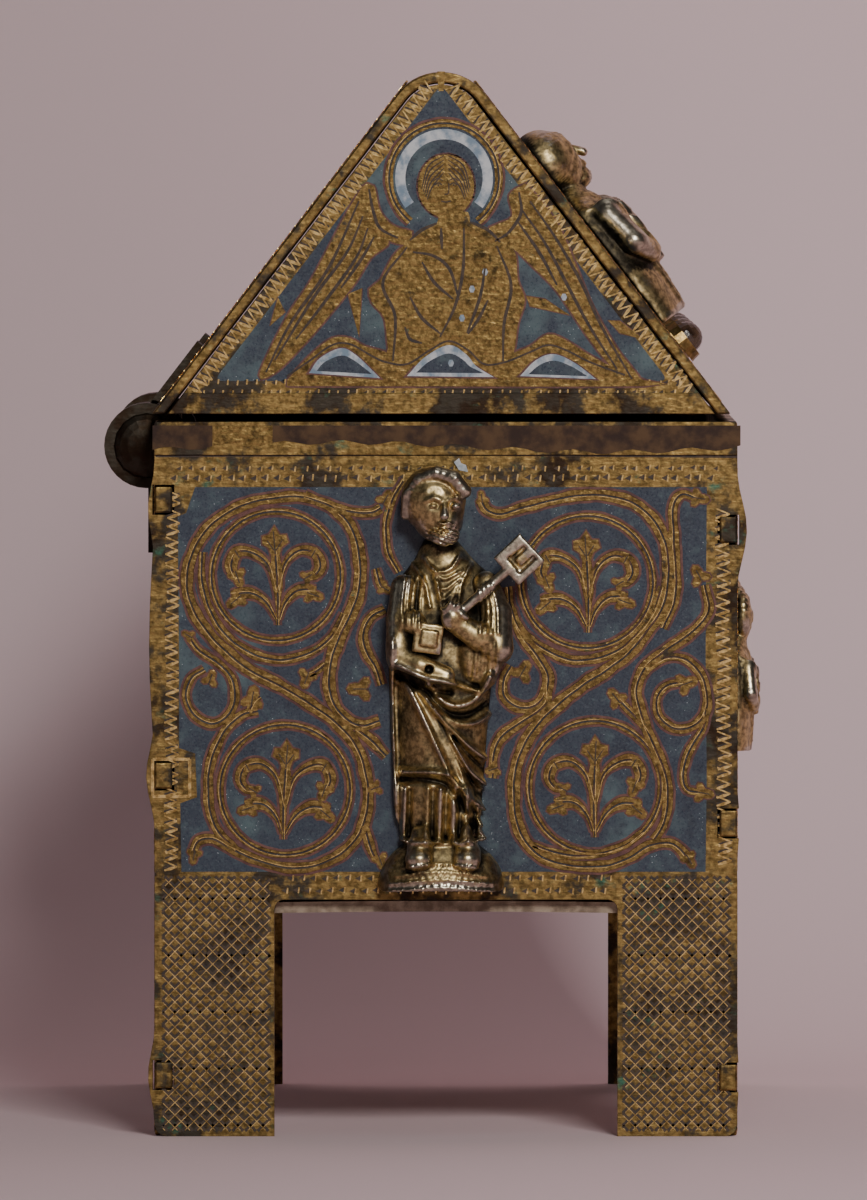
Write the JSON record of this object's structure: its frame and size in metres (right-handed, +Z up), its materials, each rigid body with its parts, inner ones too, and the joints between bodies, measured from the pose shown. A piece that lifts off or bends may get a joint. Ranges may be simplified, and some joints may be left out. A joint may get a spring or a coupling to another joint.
{
  "type": "reliquary casket",
  "caption": "House-shaped enamelled and gilt copper casket on plate feet, with a hinged gabled lid, applied cast figures and an end plate of vine scrolls.",
  "frame": {"origin": "on the ground, under the middle of the casket's overall box", "axes": "+Z up, +X towards the front with its figures, -Y towards the end with the key bearer"},
  "size_m": [0.1102, 0.2058, 0.1775],
  "materials": {
    "enamelled_copper": "gilt copper plate with flush grey-blue enamel, worn",
    "gilt_copper": "worn gilding",
    "cast_figure": "cast and chased copper, gilding left in the folds",
    "hinge_metal": "dark brown patina",
    "stone": "polished smoky cabochon"
  },
  "bodies": {
    "box": {"end_plate_near": "enamelled_copper", "end_plate_far": "enamelled_copper", "front_plate": "enamelled_copper", "back_plate": "enamelled_copper", "bottom_plate": "gilt_copper", "body_leaf_near": "hinge_metal", "body_leaf_far": "hinge_metal", "hinge_pin_near": "hinge_metal", "hinge_pin_far": "hinge_metal", "end_figure_near": "cast_figure", "end_figure_far": "cast_figure", "body_figure_1": "cast_figure", "body_figure_2": "cast_figure", "body_figure_3": "cast_figure"},
    "lid": {"gable_near": "enamelled_copper", "gable_far": "enamelled_copper", "roof_front": "enamelled_copper", "roof_back": "enamelled_copper", "lid_leaf_near": "hinge_metal", "lid_leaf_far": "hinge_metal", "roof_figure_1": "cast_figure", "roof_figure_2": "cast_figure", "roof_figure_3": "cast_figure", "collet_1": "gilt_copper", "collet_2": "gilt_copper", "collet_3": "gilt_copper", "collet_4": "gilt_copper", "cabochon_1": "stone", "cabochon_2": "stone", "cabochon_3": "stone", "cabochon_4": "stone"}
  },
  "joints": [
    {"name": "lid_hinge", "type": "hinge", "parent": "box", "child": "lid", "pos_m": [-0.04791, 0, 0.1148], "axis": [0, -1, 0], "range_deg": [0, 110]}
  ]
}
